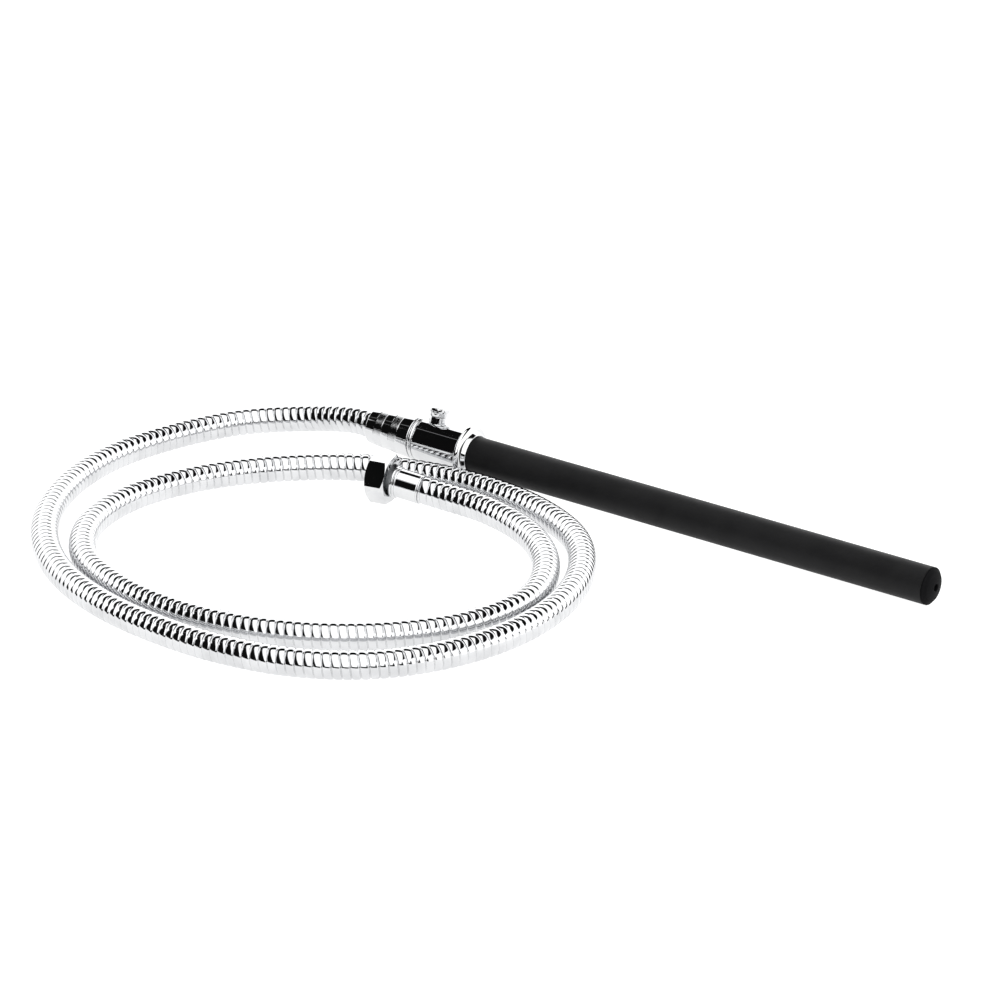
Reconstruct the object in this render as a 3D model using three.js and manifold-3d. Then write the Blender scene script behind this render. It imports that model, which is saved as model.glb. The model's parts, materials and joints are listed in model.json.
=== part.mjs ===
// Handheld bath sprayer: a black wand on a push/pull valve body, fed by a loose metal shower hose.
// Millimetres, +Z up. The wand lies along X with its tip towards +X; the origin is on the floor,
// under the middle of the wand. Screw threads are drawn as plain turned surfaces.
import * as THREE from 'three';
import { mergeVertices } from 'three/addons/utils/BufferGeometryUtils.js';
import Module from 'manifold-3d';

const { degToRad } = THREE.MathUtils;

// ---------------------------------------------------------------- driving dimensions

// Clearances
const GAP = 0.3;                  // between faces that would touch

// Faceting
const ROUND_SIDES = 32;
const SMALL_SIDES = 20;
const RING_SECTION_SIDES = 6;
const HEX_SIDES = 6;
const WELD_DISTANCE = 1e-4;       // points closer than this are one point

// Union thread between the hose and what it screws to, at its minor diameter
const THREAD_R = 9.4;
const UNION_DEPTH = 8.4;          // length of spigot inside the conical nut
const CORE_FLANGE_CLEARANCE = 0.8;

// Valve body
const BODY_STEP = 1.5;             // shoulder behind the union thread
const BODY_LENGTH = 27.3;
const WATER_BORE_R = 3.5;
const PORT_R = 1.25;              // narrow passage that the plunger opens and shuts
const PORT_WALL = 1.2;            // between the wide water bore and the plunger bore
const SOCKET_R = 8.2;             // thread for the tube connector, at its minor diameter
const SOCKET_DEPTH = 12.5;
const THRUST_RING_WIDTH = 2.2;
const THRUST_RING_STEP = 0.4;     // how far the ring stands proud of the body
const THRUST_RING_EDGE = 0.6;

// Plunger and knob; heights are measured from the wand axis along the plunger
const PLUNGER_SETBACK = 6.4;      // from the rear end of the body to the plunger
const PLUNGER_ROLL = degToRad(18);
const PLUNGER_R = 4.2;
const PLUNGER_TRAVEL = 4.8;
const PLUNGER_SHOULDER = 13.4;    // where the knob seats
const WAIST_R = 2.2;
const WAIST_CLEARANCE = 0.1;
const STUD_R = 1.7;
const STUD_LENGTH = 2.4;
const STOP_FLANGE_R = 4.9;
const STOP_FLANGE_THICKNESS = 0.7;
const STOP_SHOULDER = -2.8;       // step in the bore that stops the plunger coming out
const O_RING_SECTION = 0.65;      // radius of the round section
const NECK_R = 4.5;
const NECK_LENGTH = 1.9;
const KNOB_FLARE = 0.9;
const KNOB_RIM_R = 5.2;
const KNOB_RIM_THICKNESS = 1.4;
const KNOB_DOME = 1.2;
const DISH_R = 5.8;               // dished recess round the plunger
const DISH_FLOOR_R = 4.8;
const DISH_DEPTH = 2.4;

// Conical swivel nut
const CONE_LENGTH = 27.0;
const CONE_WIDE_WALL = 1.8;       // outside the thread
const CONE_NARROW_WALL = 1.1;     // outside the hose ferrule
const CONE_EDGE = 0.5;
const KNURL_RISE = 0.25;
const KNURL_WIDTH = 5.2;
const KNURL_STARTS = [5.2, 14.9]; // from the narrow end

// Collar
const COLLAR_R = 14.2;
const COLLAR_RIM = 0.8;
const COLLAR_EDGE = 0.75;
const COLLAR_LENGTH = 5.2;
const COLLAR_MOUTH_WALL = 0.6;
const COLLAR_LIP_LENGTH = 1.9;    // tapered lip between the bell and the mouth
const COLLAR_LIP_TAPER = 1.0;
const COLLAR_BELL_TURN = (75 * Math.PI) / 180;
const COLLAR_LAP = 1.8;           // length of tube inside the collar

// Wand tube, its inner pipe and what plugs into the pipe
const TUBE_R = 9.4;
const TUBE_LENGTH = 264.6;
const TUBE_WALL = 2.8;
const PIPE_WALL = 1.5;
const PIPE_PLUG_LENGTH = 18;      // of the connector and of the tip inside the pipe
const PIPE_RING_SECTION = 0.6;
const CONNECTOR_BORE_R = 2.2;
const CONNECTOR_FLANGE = 0.9;
const SEAL_THICKNESS = 1.2;
const TIP_EDGE = 0.4;
const TIP_BEVEL_LENGTH = 1.7;
const TIP_BEVEL_DEPTH = 2.1;
const TIP_DOME = 1.2;
const OUTLET_R = 1.8;

// Hose
const HOSE_R = 7.0;
const HOSE_WALL = 1.2;
const LINER_CLEARANCE = 1.2;       // the liner lies loose in the casing
const LINER_WALL = 1.3;
const HOSE_STEPS = 76;
const HOSE_SIDES = 8;
const LINER_SIDES = 8;
const FLOOR_CLEARANCE = 0.05;
const FERRULE_WALL = 2.9;
const CORE_NECK_LENGTH = 5;
const CORE_BARB_LENGTH = 8;
const BARB_WALL = 1.1;
const UNION_WASHER = 1.8;
const UNION_FLANGE = 1.5;
const WASHER_HOLE_R = 4.5;

// Far end of the hose; lengths are measured from the middle of the nut, towards the hose
const FAR_END_X = -127.4;
const FAR_END_Y = -44.7;
const FAR_END_YAW = degToRad(10);
const FAR_END_DROOP = degToRad(7);  // the sleeve hangs to the floor, the loose nut lies flat
const HEX_FLATS = 22.5;
const HEX_LENGTH = 10.5;
const HEX_BACK_WALL = 1.6;
const HEX_HOLE_R = 8.0;
const HEX_CHAMFER = 1.4;
const SLEEVE_R = 7.4;
const SLEEVE_START = 6.7;
const SLEEVE_END = 21.9;
const SLEEVE_NECK_LENGTH = 12;
const SLEEVE_BEADS = [
  { offset: 0, width: 1.3, radius: 8.2 },    // offset from the sleeve's start
  { offset: 1.6, width: 1.0, radius: 8.0 },
];
const BEAD_GROOVE_R = 7.6;

// Hose centreline: x and y on the floor, with a height only where it is lifted off it
const HOSE_LAY = [
  [-202, -2.5, 11.5], [-234.5, -22, 8.2], [-253.5, -54.5], [-261.5, -92], [-258, -130],
  [-244, -165.5], [-221, -196], [-191, -219.5], [-156, -234.5], [-118.5, -242], [-80, -243],
  [-42.5, -235.5], [-9.5, -216], [13, -185.5], [24.5, -149.5], [24, -111], [11.5, -75],
  [-12, -45], [-45.5, -27], [-83, -19.5], [-121, -22.5], [-156.5, -36], [-187, -60],
  [-210, -90.5], [-222, -127], [-218, -164.5], [-197, -196], [-163, -214.5], [-125.5, -222],
  [-87.5, -219.5], [-51.5, -206.5], [-20.5, -184], [2, -153.5], [9, -116.5], [-5, -81],
  [-32, -54.5], [-66, -41],
];
const WAND_LEAD = 12;             // straight length out of the wand
const FAR_LEAD = 9;               // and out of the far end's sleeve

// ---------------------------------------------------------------- what follows from them

// Stations along the wand, from the rear face of the collar towards the tip
const BODY_FRONT = -GAP;
const BODY_REAR = BODY_FRONT - BODY_LENGTH;
const RING_FRONT = BODY_REAR - GAP;
const RING_REAR = RING_FRONT - THRUST_RING_WIDTH;
const CONE_FRONT = RING_REAR - GAP;
const CONE_REAR = CONE_FRONT - CONE_LENGTH;
const SPIGOT_REAR = CONE_FRONT - UNION_DEPTH;
const WAND_WASHER_FRONT = SPIGOT_REAR - GAP;
const WAND_FLANGE_FRONT = WAND_WASHER_FRONT - UNION_WASHER - GAP;
const WAND_FLANGE_REAR = WAND_FLANGE_FRONT - UNION_FLANGE;
const CONE_SHOULDER = WAND_FLANGE_REAR - GAP;
const PLUNGER_STATION = BODY_REAR + PLUNGER_SETBACK;
const SOCKET_FLOOR = BODY_FRONT - SOCKET_DEPTH;
const TUBE_REAR = COLLAR_LENGTH - COLLAR_LAP;
const TUBE_FRONT = TUBE_REAR + TUBE_LENGTH;
const CONNECTOR_FLANGE_FRONT = TUBE_REAR - GAP;
const CONNECTOR_FLANGE_REAR = CONNECTOR_FLANGE_FRONT - CONNECTOR_FLANGE;
const COLLAR_STEP = CONNECTOR_FLANGE_REAR - GAP;
const SEAL_REAR = SOCKET_FLOOR + GAP;
const CONNECTOR_REAR = SEAL_REAR + SEAL_THICKNESS + GAP;
const TIP_REAR = TUBE_FRONT + GAP;

// Radii of what fits inside what
const BODY_R = THREAD_R + BODY_STEP;
const SPIGOT_R = THREAD_R - GAP;
const CORE_FLANGE_R = THREAD_R - CORE_FLANGE_CLEARANCE;
const LINER_R = HOSE_R - HOSE_WALL - LINER_CLEARANCE;
const LINER_BORE_R = LINER_R - LINER_WALL;
const BARB_R = LINER_BORE_R - GAP;
const FERRULE_BORE_R = LINER_R + GAP;
const FERRULE_R = FERRULE_BORE_R + FERRULE_WALL;
const CONE_HOLE_R = FERRULE_R + GAP;
const CONE_NARROW_R = CONE_HOLE_R + CONE_NARROW_WALL;
const CONE_WIDE_R = THREAD_R + CONE_WIDE_WALL;
const CONNECTOR_R = SOCKET_R - GAP;
const TUBE_BORE_R = TUBE_R - TUBE_WALL;
const PIPE_R = TUBE_BORE_R - GAP;
const PIPE_BORE_R = PIPE_R - PIPE_WALL;
const PIPE_PLUG_R = PIPE_BORE_R - GAP;
const PLUNGER_BORE_R = PLUNGER_R + GAP;
const STOP_BORE_R = STOP_FLANGE_R + GAP;

// Heights along the plunger
const STOP_FLANGE_TOP = STOP_SHOULDER - GAP;
const PLUNGER_BOTTOM = STOP_FLANGE_TOP - STOP_FLANGE_THICKNESS;
const BORE_PLUG_TOP = PLUNGER_BOTTOM - PLUNGER_TRAVEL - GAP;
const KNOB_BOTTOM = PLUNGER_SHOULDER + GAP;
const PLUNGER_RINGS = [-1, 1].map((side) => PLUNGER_TRAVEL + side * (PORT_R + O_RING_SECTION));

// The wand rests on the collar's rim and on the end of the tube
const WAND_TILT = Math.atan((COLLAR_R - TUBE_R) / (TUBE_FRONT - COLLAR_RIM));

// ---------------------------------------------------------------- shape helpers

const wasm = await Module();
wasm.setup();

// A body of revolution about X from [station, radius] points, listed from rear to front along
// the outside. A profile that stays off the axis is closed into a ring.
function turned(profile, sides = ROUND_SIDES) {
  const points = profile.map(([station, radius]) => new THREE.Vector2(radius, station));
  if (points[0].x > 0) points.push(points[0].clone());
  return new THREE.LatheGeometry(points, sides).rotateZ(-Math.PI / 2);
}

function rod(rear, front, radius, sides) {
  return turned([[rear, 0], [rear, radius], [front, radius], [front, 0]], sides);
}

function sleeve(rear, front, radius, boreRadius, sides) {
  return turned([[rear, boreRadius], [rear, radius], [front, radius], [front, boreRadius]], sides);
}

function oRing(station, outerRadius, section) {
  const ring = new THREE.TorusGeometry(outerRadius - section, section, RING_SECTION_SIDES, SMALL_SIDES);
  return ring.rotateY(Math.PI / 2).translate(station, 0, 0);
}

// Turned profile points of a square groove for an O-ring, in a rod of the given radius
function grooveProfile(station, radius, section) {
  const halfWidth = section + GAP;
  const floor = radius - 2 * section - GAP;
  const rear = station - halfWidth;
  const front = station + halfWidth;
  return [[rear, radius], [rear, floor], [front, floor], [front, radius]];
}

// Points on a shallow dome over a round face, from its rim in to innerRadius
function domeProfile(station, rimRadius, height, innerRadius, steps = 6) {
  const sphere = (rimRadius ** 2 + height ** 2) / (2 * height);
  const points = [];
  for (let i = 0; i <= steps; i += 1) {
    const radius = THREE.MathUtils.lerp(rimRadius, innerRadius, i / steps);
    points.push([station + height - sphere + Math.sqrt(sphere ** 2 - radius ** 2), radius]);
  }
  return points;
}

// Turns a shape made along X so that it stands along Z
function upright(geometry) {
  return geometry.rotateY(-Math.PI / 2);
}

function toManifold(geometry) {
  const bare = geometry.clone();
  bare.deleteAttribute('normal');
  bare.deleteAttribute('uv');
  const welded = mergeVertices(bare, WELD_DISTANCE);
  const corners = welded.getIndex().array;
  const triangles = [];
  for (let i = 0; i < corners.length; i += 3) {
    const [a, b, c] = corners.slice(i, i + 3);
    if (a !== b && b !== c && c !== a) triangles.push(a, b, c);
  }
  return new wasm.Manifold(new wasm.Mesh({
    numProp: 3,
    vertProperties: Float32Array.from(welded.getAttribute('position').array),
    triVerts: Uint32Array.from(triangles),
  }));
}

function toGeometry(manifold) {
  const { vertProperties, triVerts } = manifold.getMesh();
  const geometry = new THREE.BufferGeometry();
  geometry.setAttribute('position', new THREE.BufferAttribute(vertProperties, 3));
  geometry.setIndex(new THREE.BufferAttribute(triVerts, 1));
  geometry.computeVertexNormals();
  return geometry;
}

function cut(geometry, ...tools) {
  const result = tools.reduce((left, tool) => left.subtract(toManifold(tool)), toManifold(geometry));
  return toGeometry(result);
}

function common(geometry, other) {
  return toGeometry(toManifold(geometry).intersect(toManifold(other)));
}

// ---------------------------------------------------------------- materials

function metal(color, roughness) {
  return new THREE.MeshStandardMaterial({ color, roughness, metalness: 1 });
}

function soft(color, roughness) {
  return new THREE.MeshStandardMaterial({ color, roughness, metalness: 0 });
}

const CHROME = metal(0xe6e8ea, 0.08);
const BRASS = metal(0xc9a558, 0.35);
const STEEL = metal(0xb9bcc0, 0.3);
const BLACK_SLEEVE = soft(0x1d1d1f, 0.55);
const BLACK_RUBBER = soft(0x141414, 0.8);
const GREY_PLASTIC = soft(0x8d9094, 0.5);
const CLEAR_LINER = soft(0xb8bdc0, 0.4);

function part(name, geometry, material) {
  const mesh = new THREE.Mesh(geometry, material.clone());
  mesh.name = name;
  return mesh;
}

// ---------------------------------------------------------------- valve

// Tools that cut the cross bore, made along Z at the plunger's station
function crossBores() {
  const past = BODY_R + 1;
  const dishFloor = BODY_R - DISH_DEPTH;
  const dishSlope = (DISH_R - DISH_FLOOR_R) / DISH_DEPTH;
  const dish = turned([
    [dishFloor, 0],
    [dishFloor, DISH_FLOOR_R],
    [past, DISH_FLOOR_R + dishSlope * (past - dishFloor)],
    [past, 0],
  ]);
  const bore = rod(STOP_SHOULDER - GAP, dishFloor + GAP, PLUNGER_BORE_R, SMALL_SIDES);
  const stopBore = rod(-past, STOP_SHOULDER, STOP_BORE_R, SMALL_SIDES);
  return [dish, bore, stopBore].map((tool) => upright(tool).translate(PLUNGER_STATION, 0, 0));
}

function valveBody() {
  const blank = turned([
    [SPIGOT_REAR, 0],
    [SPIGOT_REAR, SPIGOT_R],
    [BODY_REAR, SPIGOT_R],
    [BODY_REAR, BODY_R],
    [BODY_FRONT, BODY_R],
    [BODY_FRONT, 0],
  ]);
  const past = 1;
  const portHalf = PLUNGER_BORE_R + PORT_WALL;
  const inlet = rod(SPIGOT_REAR - past, PLUNGER_STATION - portHalf, WATER_BORE_R, SMALL_SIDES);
  const port = rod(PLUNGER_STATION - portHalf - past, PLUNGER_STATION + portHalf + past, PORT_R, SMALL_SIDES);
  const outlet = rod(PLUNGER_STATION + portHalf, SOCKET_FLOOR + past, WATER_BORE_R, SMALL_SIDES);
  const socket = rod(SOCKET_FLOOR, BODY_FRONT + past, SOCKET_R);
  return cut(blank, inlet, port, outlet, socket, ...crossBores());
}

function thrustRing() {
  const proud = BODY_R + THRUST_RING_STEP;
  return turned([
    [RING_REAR, SPIGOT_R + GAP],
    [RING_REAR, proud - THRUST_RING_EDGE],
    [RING_REAR + THRUST_RING_EDGE, proud],
    [RING_FRONT - THRUST_RING_EDGE, proud],
    [RING_FRONT, proud - THRUST_RING_EDGE],
    [RING_FRONT, SPIGOT_R + GAP],
  ]);
}

function plunger() {
  const waist = PORT_R + WAIST_CLEARANCE;
  const profile = [
    [PLUNGER_BOTTOM, 0],
    [PLUNGER_BOTTOM, STOP_FLANGE_R],
    [STOP_FLANGE_TOP, STOP_FLANGE_R],
    [STOP_FLANGE_TOP, PLUNGER_R],
    [-waist, PLUNGER_R],
    [-waist, WAIST_R],
    [waist, WAIST_R],
    [waist, PLUNGER_R],
    ...PLUNGER_RINGS.flatMap((height) => grooveProfile(height, PLUNGER_R, O_RING_SECTION)),
    [PLUNGER_SHOULDER, PLUNGER_R],
    [PLUNGER_SHOULDER, STUD_R],
    [PLUNGER_SHOULDER + STUD_LENGTH, STUD_R],
    [PLUNGER_SHOULDER + STUD_LENGTH, 0],
  ];
  return upright(turned(profile, SMALL_SIDES));
}

function knob() {
  const flareBottom = KNOB_BOTTOM + NECK_LENGTH;
  const rimBottom = flareBottom + KNOB_FLARE;
  const rimTop = rimBottom + KNOB_RIM_THICKNESS;
  const holeTop = KNOB_BOTTOM + STUD_LENGTH;
  const profile = [
    [holeTop, 0],
    [holeTop, STUD_R + GAP],
    [KNOB_BOTTOM, STUD_R + GAP],
    [KNOB_BOTTOM, NECK_R],
    [flareBottom, NECK_R],
    [rimBottom, KNOB_RIM_R],
    ...domeProfile(rimTop, KNOB_RIM_R, KNOB_DOME, 0),
  ];
  return upright(turned(profile, SMALL_SIDES));
}

// Closes the cross bore from below, flush with the round of the body
function borePlug() {
  const disc = rod(-BODY_R, BORE_PLUG_TOP, STOP_BORE_R - GAP, SMALL_SIDES);
  const round = rod(-BODY_R, BODY_R, BODY_R);
  return common(upright(disc), round);
}

// The cross bore leans, so its pieces hang in a group of their own
function makeValve() {
  const cross = new THREE.Group();
  cross.position.x = PLUNGER_STATION;
  cross.add(part('plunger', plunger(), CHROME));
  PLUNGER_RINGS.forEach((height, index) => {
    const ring = upright(oRing(height, PLUNGER_R, O_RING_SECTION));
    cross.add(part(`plunger_o_ring_${index + 1}`, ring, BLACK_RUBBER));
  });
  cross.add(part('knob', knob(), CHROME));
  cross.add(part('bore_plug', borePlug(), CHROME));

  const valve = new THREE.Group();
  valve.rotation.x = -PLUNGER_ROLL;
  valve.add(part('valve_body', valveBody(), CHROME), cross);
  return valve;
}

// ---------------------------------------------------------------- wand

// A rim that the wand rests on, a bell that falls away from it, and a tapered lip round the tube
function collar() {
  const mouthR = TUBE_R + GAP + COLLAR_MOUTH_WALL;
  const lipR = mouthR + COLLAR_LIP_TAPER;
  const lipStart = COLLAR_LENGTH - COLLAR_LIP_LENGTH;
  const bell = [];
  const steps = 8;
  for (let i = 0; i <= steps; i += 1) {
    const angle = (i / steps) * COLLAR_BELL_TURN;
    const share = Math.sin(angle) / Math.sin(COLLAR_BELL_TURN);
    const drop = (1 - Math.cos(angle)) / (1 - Math.cos(COLLAR_BELL_TURN));
    bell.push([
      COLLAR_RIM + (lipStart - COLLAR_RIM) * share,
      COLLAR_R - (COLLAR_R - lipR) * drop,
    ]);
  }
  return turned([
    [0, SOCKET_R],
    [0, COLLAR_R - COLLAR_EDGE],
    [COLLAR_EDGE, COLLAR_R],
    ...bell,
    [COLLAR_LENGTH, mouthR],
    [COLLAR_LENGTH, TUBE_R + GAP],
    [COLLAR_STEP, TUBE_R + GAP],
    [COLLAR_STEP, SOCKET_R],
  ]);
}

// Screws into the valve body, holds the collar by its flange and plugs into the inner pipe
function tubeConnector() {
  const nose = CONNECTOR_FLANGE_FRONT + PIPE_PLUG_LENGTH;
  const ringStation = CONNECTOR_FLANGE_FRONT + PIPE_PLUG_LENGTH / 2;
  return turned([
    [CONNECTOR_REAR, CONNECTOR_BORE_R],
    [CONNECTOR_REAR, CONNECTOR_R],
    [CONNECTOR_FLANGE_REAR, CONNECTOR_R],
    [CONNECTOR_FLANGE_REAR, TUBE_R - GAP],
    [CONNECTOR_FLANGE_FRONT, TUBE_R - GAP],
    [CONNECTOR_FLANGE_FRONT, PIPE_PLUG_R],
    ...grooveProfile(ringStation, PIPE_PLUG_R, PIPE_RING_SECTION),
    [nose, PIPE_PLUG_R],
    [nose, CONNECTOR_BORE_R],
  ]);
}

function tipPlug() {
  const shankRear = TIP_REAR - PIPE_PLUG_LENGTH;
  const bevelRear = TIP_REAR + TIP_EDGE;
  const bevelFront = bevelRear + TIP_BEVEL_LENGTH;
  return turned([
    [shankRear, OUTLET_R],
    [shankRear, PIPE_PLUG_R],
    ...grooveProfile(TIP_REAR - PIPE_PLUG_LENGTH / 2, PIPE_PLUG_R, PIPE_RING_SECTION),
    [TIP_REAR, PIPE_PLUG_R],
    [TIP_REAR, TUBE_R],
    [bevelRear, TUBE_R],
    ...domeProfile(bevelFront, TUBE_R - TIP_BEVEL_DEPTH, TIP_DOME, OUTLET_R),
  ]);
}

function makeTube() {
  const pieces = new THREE.Group();
  const rearRing = CONNECTOR_FLANGE_FRONT + PIPE_PLUG_LENGTH / 2;
  const frontRing = TIP_REAR - PIPE_PLUG_LENGTH / 2;
  pieces.add(part('collar', collar(), CHROME));
  pieces.add(part('tube_connector', tubeConnector(), BRASS));
  pieces.add(part('connector_seal',
    sleeve(SEAL_REAR, SEAL_REAR + SEAL_THICKNESS, CONNECTOR_R, WATER_BORE_R, SMALL_SIDES), BLACK_RUBBER));
  pieces.add(part('pipe_o_ring_rear', oRing(rearRing, PIPE_PLUG_R, PIPE_RING_SECTION), BLACK_RUBBER));
  pieces.add(part('inner_pipe', sleeve(TUBE_REAR, TUBE_FRONT, PIPE_R, PIPE_BORE_R, SMALL_SIDES), STEEL));
  pieces.add(part('wand_tube', sleeve(TUBE_REAR, TUBE_FRONT, TUBE_R, TUBE_BORE_R), BLACK_SLEEVE));
  pieces.add(part('pipe_o_ring_front', oRing(frontRing, PIPE_PLUG_R, PIPE_RING_SECTION), BLACK_RUBBER));
  pieces.add(part('tip_plug', tipPlug(), BLACK_SLEEVE));
  return pieces;
}

// ---------------------------------------------------------------- hose end on the wand

function coneNut() {
  const radiusAt = (station) =>
    THREE.MathUtils.mapLinear(station, CONE_REAR, CONE_FRONT, CONE_NARROW_R, CONE_WIDE_R);
  const bands = KNURL_STARTS.flatMap((start) => {
    const rear = CONE_REAR + start;
    const front = rear + KNURL_WIDTH;
    return [
      [rear, radiusAt(rear)],
      [rear, radiusAt(rear) + KNURL_RISE],
      [front, radiusAt(front) + KNURL_RISE],
      [front, radiusAt(front)],
    ];
  });
  return turned([
    [CONE_REAR, CONE_HOLE_R],
    [CONE_REAR, CONE_NARROW_R - CONE_EDGE],
    [CONE_REAR + CONE_EDGE, radiusAt(CONE_REAR + CONE_EDGE)],
    ...bands,
    [CONE_FRONT - CONE_EDGE, radiusAt(CONE_FRONT - CONE_EDGE)],
    [CONE_FRONT, CONE_WIDE_R - CONE_EDGE],
    [CONE_FRONT, THREAD_R],
    [CONE_SHOULDER, THREAD_R],
    [CONE_SHOULDER, CONE_HOLE_R],
  ]);
}

// Flanged insert of a hose end, along X with the flange's seat at x = 0 and the barb towards -X
function hoseCore(neckLength, barbLength) {
  const neckRear = -UNION_FLANGE - neckLength;
  const barbRear = neckRear - barbLength;
  const boreR = BARB_R - BARB_WALL;
  return turned([
    [barbRear, boreR],
    [barbRear, BARB_R],
    [neckRear, BARB_R],
    [neckRear, LINER_R],
    [-UNION_FLANGE, LINER_R],
    [-UNION_FLANGE, CORE_FLANGE_R],
    [0, CORE_FLANGE_R],
    [0, boreR],
  ], SMALL_SIDES);
}

function unionWasher() {
  return sleeve(0, UNION_WASHER, CORE_FLANGE_R, WASHER_HOLE_R, SMALL_SIDES);
}

function makeWandEnd() {
  const core = hoseCore(CORE_NECK_LENGTH, CORE_BARB_LENGTH).translate(WAND_FLANGE_FRONT, 0, 0);
  const washer = unionWasher().translate(WAND_FLANGE_FRONT + GAP, 0, 0);
  const ferrule = sleeve(CONE_REAR, WAND_FLANGE_REAR - GAP, FERRULE_R, FERRULE_BORE_R, SMALL_SIDES);
  const pieces = new THREE.Group();
  pieces.add(part('cone_nut', coneNut(), CHROME));
  pieces.add(part('thrust_ring', thrustRing(), CHROME));
  pieces.add(part('wand_washer', washer, BLACK_RUBBER));
  pieces.add(part('wand_end_core', core, GREY_PLASTIC));
  pieces.add(part('wand_end_ferrule', ferrule, CHROME));
  return pieces;
}

// ---------------------------------------------------------------- far end of the hose

// The core's flange stops against the nut's back wall at the edge that its droop brings forward
const HEX_SHOULDER = HEX_LENGTH / 2 - HEX_BACK_WALL;
const FAR_SEAT = (HEX_SHOULDER - GAP - CORE_FLANGE_R * Math.sin(FAR_END_DROOP)) / Math.cos(FAR_END_DROOP)
  - UNION_FLANGE;

function hexNut() {
  const half = HEX_LENGTH / 2;
  const cornerR = HEX_FLATS / 2 / Math.cos(Math.PI / HEX_SIDES);
  const prism = new THREE.CylinderGeometry(cornerR, cornerR, HEX_LENGTH, HEX_SIDES)
    .rotateZ(-Math.PI / 2)
    .rotateX(Math.PI / HEX_SIDES);
  const chamferR = HEX_FLATS / 2;
  const slope = HEX_CHAMFER * Math.sqrt(3);
  const rounded = turned([
    [-half, 0],
    [-half, chamferR],
    [-half + HEX_CHAMFER, chamferR + slope],
    [half - HEX_CHAMFER, chamferR + slope],
    [half, chamferR],
    [half, 0],
  ]);
  const past = 1;
  const socket = rod(-half - past, HEX_SHOULDER, THREAD_R);
  const hole = rod(HEX_SHOULDER - past, half + past, HEX_HOLE_R);
  return cut(common(prism, rounded), socket, hole);
}

function farSleeve() {
  const beads = SLEEVE_BEADS.flatMap(({ offset, width, radius }) => {
    const start = SLEEVE_START + offset;
    return [
      [start, BEAD_GROOVE_R],
      [start + width / 4, radius],
      [start + (3 * width) / 4, radius],
      [start + width, BEAD_GROOVE_R],
    ];
  });
  return turned([
    [SLEEVE_START, FERRULE_BORE_R],
    ...beads,
    [beads.at(-1)[0], SLEEVE_R],
    [SLEEVE_END, SLEEVE_R],
    [SLEEVE_END, FERRULE_BORE_R],
  ], SMALL_SIDES);
}

function makeFarEnd() {
  const flip = (geometry) => geometry.rotateZ(Math.PI);
  const neck = SLEEVE_NECK_LENGTH - FAR_SEAT - UNION_FLANGE;
  const drooping = new THREE.Group();
  drooping.rotation.y = FAR_END_DROOP;
  drooping.add(part('far_end_core',
    flip(hoseCore(neck, CORE_BARB_LENGTH)).translate(FAR_SEAT, 0, 0), GREY_PLASTIC));
  drooping.add(part('far_washer',
    flip(unionWasher()).translate(FAR_SEAT - GAP, 0, 0), BLACK_RUBBER));
  drooping.add(part('far_end_sleeve', farSleeve(), CHROME));

  const end = new THREE.Group();
  end.position.set(FAR_END_X, FAR_END_Y, HEX_FLATS / 2);
  end.rotation.z = FAR_END_YAW;
  end.add(part('hex_nut', hexNut(), CHROME), drooping);
  return { end, drooping };
}

// ---------------------------------------------------------------- hose

function polygonPath(radius, sides) {
  const points = [];
  for (let i = 0; i < sides; i += 1) {
    const angle = ((i + 0.5) / sides) * 2 * Math.PI;
    points.push(new THREE.Vector2(radius * Math.cos(angle), radius * Math.sin(angle)));
  }
  return points;
}

// A tube along a curve: the bore's flats clear boreRadius, the outside's corners reach radius
function tubeAlong(curve, radius, boreRadius, sides) {
  const section = new THREE.Shape(polygonPath(radius, sides));
  section.holes.push(new THREE.Path(polygonPath(boreRadius / Math.cos(Math.PI / sides), sides)));
  return new THREE.ExtrudeGeometry(section, { steps: HOSE_STEPS, extrudePath: curve });
}

// The hose's centreline from a station on the wand to a station on the far end
function hoseCurve(wand, wandStation, drooping, farStation) {
  const pointOn = (group, x) => group.localToWorld(new THREE.Vector3(x, 0, 0));
  const lay = HOSE_LAY.map(([x, y, z = HOSE_R + FLOOR_CLEARANCE]) => new THREE.Vector3(x, y, z));
  const curve = new THREE.CatmullRomCurve3([
    pointOn(wand, wandStation),
    pointOn(wand, CONE_REAR - WAND_LEAD),
    ...lay,
    pointOn(drooping, SLEEVE_END + FAR_LEAD),
    pointOn(drooping, farStation),
  ]);
  curve.arcLengthDivisions = 2000;
  return curve;
}

function makeHose(wand, drooping) {
  const casing = hoseCurve(wand, CONE_REAR - GAP, drooping, SLEEVE_END + GAP);
  const linerStart = WAND_FLANGE_REAR - CORE_NECK_LENGTH - GAP;
  const liner = hoseCurve(wand, linerStart, drooping, SLEEVE_NECK_LENGTH + GAP);
  const pieces = new THREE.Group();
  pieces.add(part('hose', tubeAlong(casing, HOSE_R, HOSE_R - HOSE_WALL, HOSE_SIDES), CHROME));
  pieces.add(part('hose_liner', tubeAlong(liner, LINER_R, LINER_BORE_R, LINER_SIDES), CLEAR_LINER));
  return pieces;
}

// ---------------------------------------------------------------- assembly

function makeWand() {
  const wand = new THREE.Group();
  wand.rotation.y = WAND_TILT;
  wand.add(makeValve(), makeTube());
  const wandEnd = makeWandEnd();
  wand.add(wandEnd);

  // The wand without the hose's own fittings stands centred over the origin
  const box = new THREE.Box3();
  const hoseFittings = ['wand_end_core', 'wand_end_ferrule'];
  wand.updateMatrixWorld(true);
  wand.traverse((piece) => {
    if (piece.isMesh && !hoseFittings.includes(piece.name)) box.expandByObject(piece, true);
  });
  wand.position.set(-(box.min.x + box.max.x) / 2, 0, -box.min.z);
  wand.updateMatrixWorld(true);
  return wand;
}

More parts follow.
